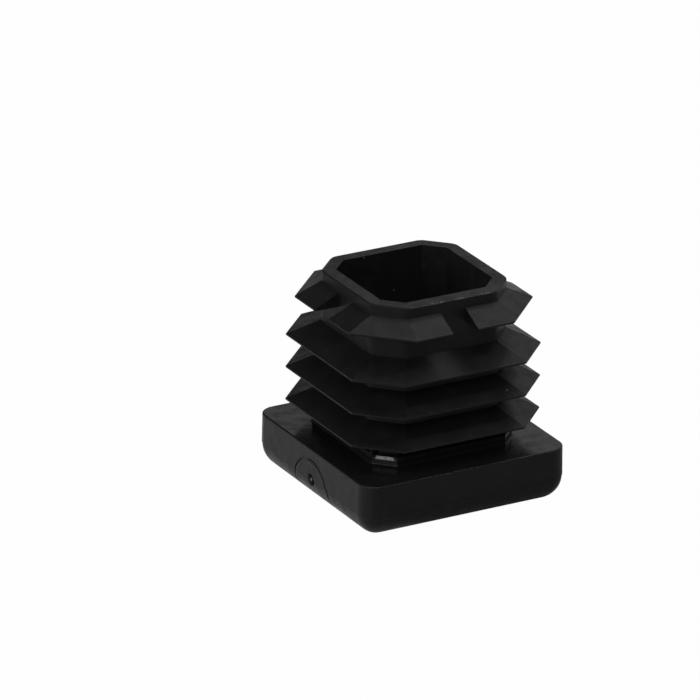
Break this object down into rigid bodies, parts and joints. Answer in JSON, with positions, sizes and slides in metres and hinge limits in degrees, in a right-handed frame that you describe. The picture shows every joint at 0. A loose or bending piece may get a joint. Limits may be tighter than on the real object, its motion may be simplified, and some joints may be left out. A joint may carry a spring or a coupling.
{
  "type": "tube end cap",
  "caption": "Square tube end cap: rounded flat head, centring shoulder and hollow octagonal core with sloped springy fins that grip inside the tube; the top fin is split at mid-side.",
  "frame": {"origin": "centre of the head's flat outer face", "axes": "+Z runs from the head into the tube, along the axis of insertion; X and Y are square to the head's sides; the gate mark is on the -X side"},
  "size_m": [0.02, 0.02, 0.0194],
  "materials": {
    "black_plastic": "satin moulded black"
  },
  "bodies": {
    "root": {"end_cap": "black_plastic"}
  },
  "joints": []
}
